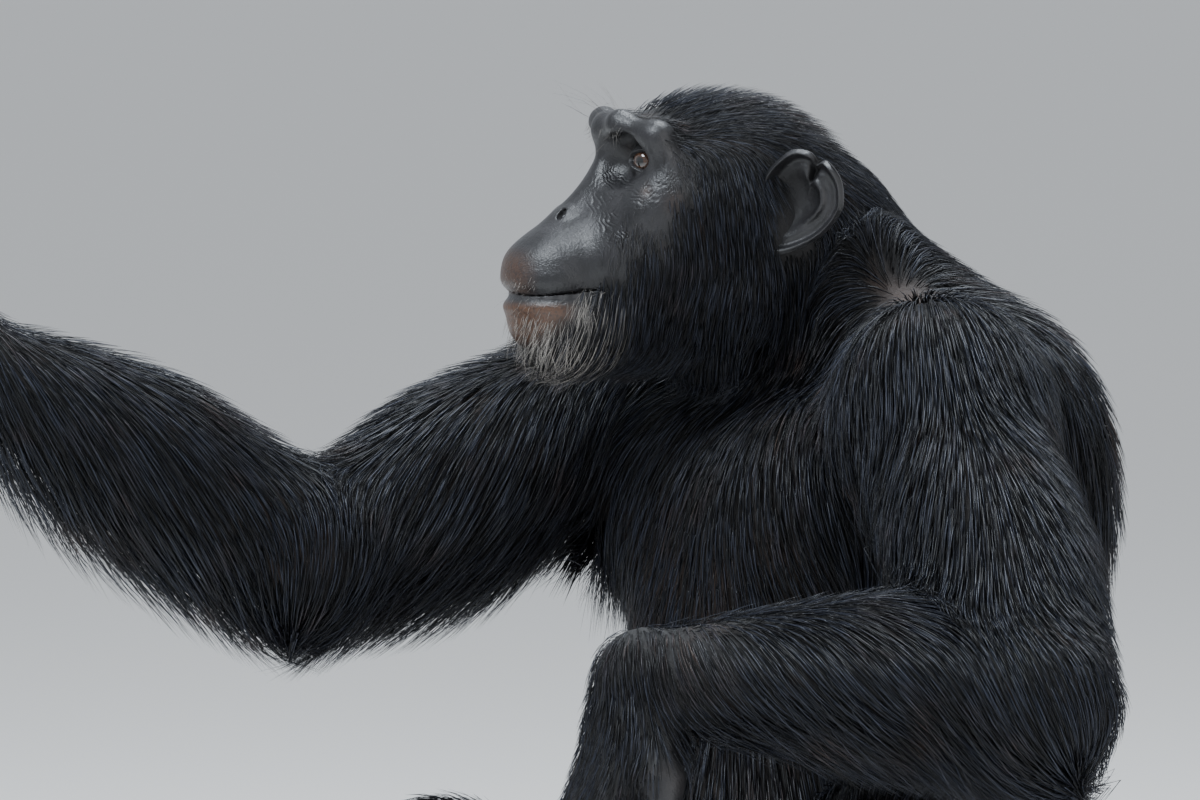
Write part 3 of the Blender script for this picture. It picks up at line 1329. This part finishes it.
class CHIMP_OT_skin(bpy.types.Operator):
    """Makes the skin over the whole body"""

    bl_idname = "chimp.skin"
    bl_label = "Skin"

    def execute(self, context):
        settings = context.scene.chimp_skin
        made = make_skin(Animal(), settings)
        points = coords(made.data)
        place = on_left(points)
        names, weights = region_weights(points)
        head = smoothstep(0.4, 0.6, weights[names.index("head")])
        ends = sum(weights[number] for number, name in enumerate(names) if name[:4] in ("hand", "foot"))
        bare = (1 - coat_share(points)) * (1 - 0.85 * socket_share(place) * head) * (1 - 0.4 * ends)
        point_attribute(made.data, "bare", bare)
        point_attribute(made.data, "brown", thin_share(points))
        point_attribute(made.data, "tan", tan_share(place) * head)
        point_attribute(made.data, "lip", lip_share(place) * head)
        put_in_frame(made, skin_finish(settings), FLESH_NODES)
        return {"FINISHED"}


class CHIMP_OT_ears(bpy.types.Operator):
    """Makes the two cupped ears"""

    bl_idname = "chimp.ears"
    bl_label = "Ears"

    def execute(self, context):
        material = bpy.data.materials["skin"]
        for side in SIDES:
            form = bmesh.new()
            bmesh.ops.create_uvsphere(form, u_segments=112, v_segments=72, radius=1)
            shades = []
            for vert in form.verts:
                lean = math.asin(max(-1.0, min(1.0, vert.co.z)))
                around = math.atan2(vert.co.y, vert.co.x)
                share = min(1.0, math.cos(lean) ** 0.62)
                vert.co, shade = ear_point(around, share, math.sin(lean), SIGN[side])
                shades.append(shade)
            bmesh.ops.recalc_face_normals(form, faces=form.faces)
            made = to_piece("ear_skin_" + side, form)
            point_attribute(made.data, "bare", 1 - 0.97 * np.array(shades))
            put_in_frame(made, material, ["ear_" + side])
        return {"FINISHED"}


class CHIMP_OT_eyes(bpy.types.Operator):
    """Makes the two eyeballs with their corneas"""

    bl_idname = "chimp.eyes"
    bl_label = "Eyes"

    def execute(self, context):
        settings = context.scene.chimp_eyes
        finish = Finish("eye")
        pole = finish.attribute("pole")
        streak = finish.noise(0.0012, 3.0)
        iris = finish.blend(tuple(settings.iris), (0.024, 0.010, 0.005), streak.ramp(0.35, 0.65))
        inner = finish.blend((0.002, 0.002, 0.002), iris, pole.ramp(0.22, 0.27))
        rim = finish.blend(inner, (0.006, 0.004, 0.003), pole.ramp(0.52, 0.66))
        white = finish.blend(rim, (0.022, 0.012, 0.009), pole.ramp(0.72, 1.0))
        material = finish.set(Base_Color=white, Roughness=0.12, Coat_Weight=1.0, Coat_Roughness=0.02)
        for side in SIDES:
            form = bmesh.new()
            bmesh.ops.create_uvsphere(form, u_segments=64, v_segments=48, radius=1)
            angles = []
            for vert in form.verts:
                angle = math.acos(max(-1.0, min(1.0, vert.co.z)))
                angles.append(angle)
                vert.co *= EYE_RADIUS + CORNEA_BULGE * math.exp(-((angle / CORNEA_SPAN) ** 4))
            centre = head_point(EYE_PLACE[0], EYE_PLACE[1] * SIGN[side], EYE_PLACE[2])
            way = Matrix.Rotation(HEAD_TURN + settings.gaze, 4, "Z") @ Matrix.Rotation(math.pi / 2, 4, "X")
            made = to_piece("eyeball_" + side, form)
            made.data.transform(Matrix.Translation(centre) @ way)
            point_attribute(made.data, "pole", angles)
            put_in_frame(made, material, ["eye_" + side])
        return {"FINISHED"}


# end radii of the last joints: finger and thumb, toe and big toe
FINGER_ENDS = (0.0074, 0.0078)
TOE_ENDS = (0.0085, 0.0110)


def tips_of(flesh, radii):
    """The last joint of each finger or toe, told by its end radius."""
    return [form for form in flesh.forms if form[0] == "limb" and round(form[4], 4) in radii]


class CHIMP_OT_nails(bpy.types.Operator):
    """Makes the nails of fingers and toes"""

    bl_idname = "chimp.nails"
    bl_label = "Nails"

    def execute(self, context):
        form = bmesh.new()
        for side in SIDES:
            hand, foot = Flesh(), Flesh()
            add_hand(hand, side)
            add_foot(foot, side)
            ends = ((hand, FINGER_ENDS, hand_frame(side)[3]), (foot, TOE_ENDS, UP))
            for flesh, radii, up in ends:
                for _, start, end, _, radius, _ in tips_of(flesh, radii):
                    way = (end - start).normalized()
                    if flesh is hand:
                        side_axis = way.cross(up).normalized()
                        out = side_axis.cross(way).normalized()
                    else:
                        out = (up - way * way.dot(up)).normalized()
                    frame = Matrix((way, out.cross(way), out)).transposed().to_4x4()
                    centre = end - way * radius * 0.1 + out * radius * 0.62
                    size = Matrix.Diagonal((radius * 0.95, radius * 0.78, radius * 0.46, 1))
                    place = Matrix.Translation(centre) @ frame @ size
                    bmesh.ops.create_uvsphere(form, u_segments=16, v_segments=10, radius=1, matrix=place)
        made = to_piece("nails", form)
        finish = Finish("nail")
        shade = finish.blend((0.018, 0.014, 0.012), (0.050, 0.038, 0.030), finish.noise(0.003, 3.0))
        material = finish.set(Base_Color=shade, Roughness=0.32, Coat_Weight=0.3)
        put_in_frame(made, material)
        return {"FINISHED"}


# the regions in each piece of the coat, which is cut in several where it has more tufts than MOST_TUFTS
COAT_PIECES = {
    "coat_head": ("head",), "coat_neck": ("neck",), "coat_torso": ("torso",),
    "coat_upper_arms": ("upper_arm_left", "upper_arm_right"),
    "coat_forearms": ("forearm_left", "forearm_right"),
    "coat_thighs": ("thigh_left", "thigh_right"),
    "coat_shins": ("shin_left", "shin_right"),
    "coat_hands_feet": ("hand_left", "hand_right", "foot_left", "foot_right"),
}
MOST_TUFTS = 16000


def spring(roots, animal, ways, length, lift):
    """The centre line of each loose hair, standing free of the skin."""
    facing = outward(roots, animal)
    along = unit(ways - (ways * facing).sum(1)[:, None] * facing)
    line = [roots - facing * LOOSE_ROOT_DEPTH]
    for share in TUFT_SHARES:
        line.append(roots + along * (length * share)[:, None] + facing * (lift * share**0.8)[:, None])
        line[-1][:, 2] -= 0.15 * length * share**2
    return np.array(line), facing


def grow(name, line, facing, width, tint, pale, places):
    """Makes the tufts of one piece and moves them into the frame."""
    above = line[:, :, 2].min(0) > LOWEST_TUFT
    made = new_piece(name, tuft_mesh(
        name, line[:, above], facing[above], width[above], tint[above], pale[above], places[above]
    ))
    put_in_frame(made, bpy.data.materials["fur"])


class CHIMP_OT_coat(bpy.types.Operator):
    """Grows the coat in tufts over the skin"""

    bl_idname = "chimp.coat"
    bl_label = "Coat"

    def execute(self, context):
        settings = context.scene.chimp_coat
        mesh = bpy.data.objects["skin"].data.copy()
        mesh.transform(Matrix.Translation(-frame_shift()))
        animal = Animal()
        chance = np.random.default_rng(7)
        roots, names, weights = scatter(mesh, chance, settings)
        bpy.data.meshes.remove(mesh)
        facing, share = outward(roots, animal), coat_share(roots)
        length, width, lift = coat_sizes(roots, facing, names, weights, share, chance)
        tint = chance.random(len(roots))
        head = weights[names.index("head")]
        pale = np.clip(beard_share(roots) * head * chance.uniform(-1.1, 1.0, len(roots)), 0, 0.8)
        places = chart_places(roots, names, weights)
        nearest = weights.argmax(0)
        coat_finish(settings)
        for piece, regions in COAT_PIECES.items():
            held = np.flatnonzero(np.isin(nearest, [names.index(region) for region in regions]))
            parts = max(1, math.ceil(len(held) / MOST_TUFTS))
            for number, some in enumerate(np.array_split(held, parts)):
                def lie(ground, some=some):
                    return lie_of_coat(ground, names, weights[:, some])

                line, facing = comb(roots[some], animal, lie, length[some], lift[some])
                name = piece if parts == 1 else f"{piece}_{number + 1}"
                grow(name, line, facing, width[some], tint[some], pale[some], places[some])
        return {"FINISHED"}


class CHIMP_OT_face_hair(bpy.types.Operator):
    """Sets the loose hairs of the brow, cheeks, lips and chin"""

    bl_idname = "chimp.face_hair"
    bl_label = "Face hair"

    def execute(self, context):
        animal = Animal()
        chance = np.random.default_rng(5)
        turn = np.array(Matrix.Rotation(HEAD_TURN, 3, "Z")).T
        roots, ways, sizes, pale = [], [], [], []
        for count, middle, spread, length, width, lift, way, paleness in FACE_HAIR:
            for sign in (1, -1):
                place = np.array(middle) + chance.normal(0, 0.6, (count, 3)) * np.array(spread)
                roots.append(from_head(place[:, 0], sign * place[:, 1], place[:, 2]))
                heading = np.array((sign * way[1], -way[0], way[2])) + chance.normal(0, 0.22, (count, 3))
                ways.append(unit(heading) @ turn)
                scale = chance.uniform(0.5, 1.4, count)
                wide = width * chance.uniform(0.8, 1.3, count)
                sizes.append(np.stack([length * scale, wide, lift * scale]))
                pale.append(np.clip(paleness * chance.uniform(0.2, 1.4, count), 0, 1))
        roots, ways, sizes = np.concatenate(roots), np.concatenate(ways), np.concatenate(sizes, axis=1)
        pale = np.concatenate(pale)
        roots = settle(roots, animal, at_skin, 4)
        names, weights = region_weights(roots)
        places = chart_places(roots, names, weights)
        line, facing = spring(roots, animal, ways, sizes[0], sizes[2])
        grow("face_hair", line, facing, sizes[1], chance.random(len(roots)), pale, places)
        return {"FINISHED"}


# where the camera looks, which way it stands from there and how far
VIEW_TARGET = Vector((-0.081, -0.1403, 0.548))
VIEW_BACK = Vector((0.8639, -0.4988, 0.0698))
VIEW_AWAY = 5.0
FLOOR_REACH = 40
SKY = (0.86, 0.93, 1.0)


def area_light(name, place, size, power, colour=(1, 1, 1)):
    lamp = bpy.data.lights.new(name, "AREA")
    lamp.shape, lamp.size, lamp.energy, lamp.color = "DISK", size, power, colour
    made = bpy.data.objects.new(name, lamp)
    bpy.context.scene.collection.objects.link(made)
    made.location = place
    made.rotation_mode = "QUATERNION"
    aim = VIEW_TARGET + frame_shift() - place
    made.rotation_quaternion = aim.to_track_quat("-Z", "Y")


class CHIMP_OT_stage(bpy.types.Operator):
    """Sets the floor, the lights and the camera"""

    bl_idname = "chimp.stage"
    bl_label = "Stage"

    def execute(self, context):
        settings = context.scene.chimp_stage
        form = bmesh.new()
        bmesh.ops.create_circle(form, cap_ends=True, radius=FLOOR_REACH, segments=64)
        floor = to_piece("floor", form)
        finish = Finish("floor")
        floor.data.materials.append(finish.set(Base_Color=tuple(settings.floor), Roughness=0.85))
        world = bpy.data.worlds.new("studio")
        world.use_nodes = True
        background = world.node_tree.nodes["Background"].inputs
        background["Color"].default_value = (0.88, 0.93, 1.0, 1)
        background["Strength"].default_value = 0.7
        context.scene.world = world
        target = VIEW_TARGET + frame_shift()
        right = UP.cross(VIEW_BACK).normalized()
        up = VIEW_BACK.cross(right).normalized()
        power = settings.key_power
        area_light("key", target + VIEW_BACK * 1.5 - right * 1.3 + up * 2.3, 1.5, power, SKY)
        area_light("top", target - VIEW_BACK * 0.5 + right * 0.5 + up * 2.6, 1.8, power, SKY)
        area_light("fill", target + VIEW_BACK * 2.2 + right * 2.0 + up * 0.6, 2.4, power * 0.25)
        camera = bpy.data.objects.new("camera", bpy.data.cameras.new("camera"))
        context.scene.collection.objects.link(camera)
        camera.data.lens, camera.data.sensor_width = settings.lens, 36
        camera.data.clip_end = 100
        camera.location = target + VIEW_BACK.normalized() * VIEW_AWAY
        camera.rotation_mode = "QUATERNION"
        camera.rotation_quaternion = (-VIEW_BACK).to_track_quat("-Z", "Y")
        context.scene.camera = camera
        return {"FINISHED"}


class CHIMP_PT_panel(bpy.types.Panel):
    """Lists the sizes and pieces of the chimpanzee"""

    bl_label = "Sitting chimpanzee"
    bl_space_type = "VIEW_3D"
    bl_region_type = "UI"
    bl_category = "Chimpanzee"

    def draw(self, context):
        for group in ("chimp_skin", "chimp_coat", "chimp_eyes", "chimp_stage"):
            settings = getattr(context.scene, group)
            column = self.layout.column(align=True)
            for name in settings.bl_rna.properties.keys():
                if name not in ("rna_type", "name"):
                    column.prop(settings, name)
        for operator in OPERATORS:
            self.layout.operator(operator.bl_idname)


OPERATORS = (
    CHIMP_OT_skin, CHIMP_OT_ears, CHIMP_OT_eyes, CHIMP_OT_nails, CHIMP_OT_coat, CHIMP_OT_face_hair,
    CHIMP_OT_stage,
)
SETTINGS = {
    "chimp_skin": SkinSettings, "chimp_coat": CoatSettings, "chimp_eyes": EyeSettings,
    "chimp_stage": StageSettings,
}


def register():
    for made in (*SETTINGS.values(), *OPERATORS, CHIMP_PT_panel):
        bpy.utils.register_class(made)
    for name, group in SETTINGS.items():
        setattr(bpy.types.Scene, name, PointerProperty(type=group))


def unregister():
    for name in SETTINGS:
        delattr(bpy.types.Scene, name)
    for made in reversed((*SETTINGS.values(), *OPERATORS, CHIMP_PT_panel)):
        bpy.utils.unregister_class(made)


def main():
    register()
    bpy.ops.chimp.skin()
    bpy.ops.chimp.ears()
    bpy.ops.chimp.eyes()
    bpy.ops.chimp.nails()
    bpy.ops.chimp.coat()
    bpy.ops.chimp.face_hair()
    bpy.ops.chimp.stage()


if __name__ == "__main__":
    main()
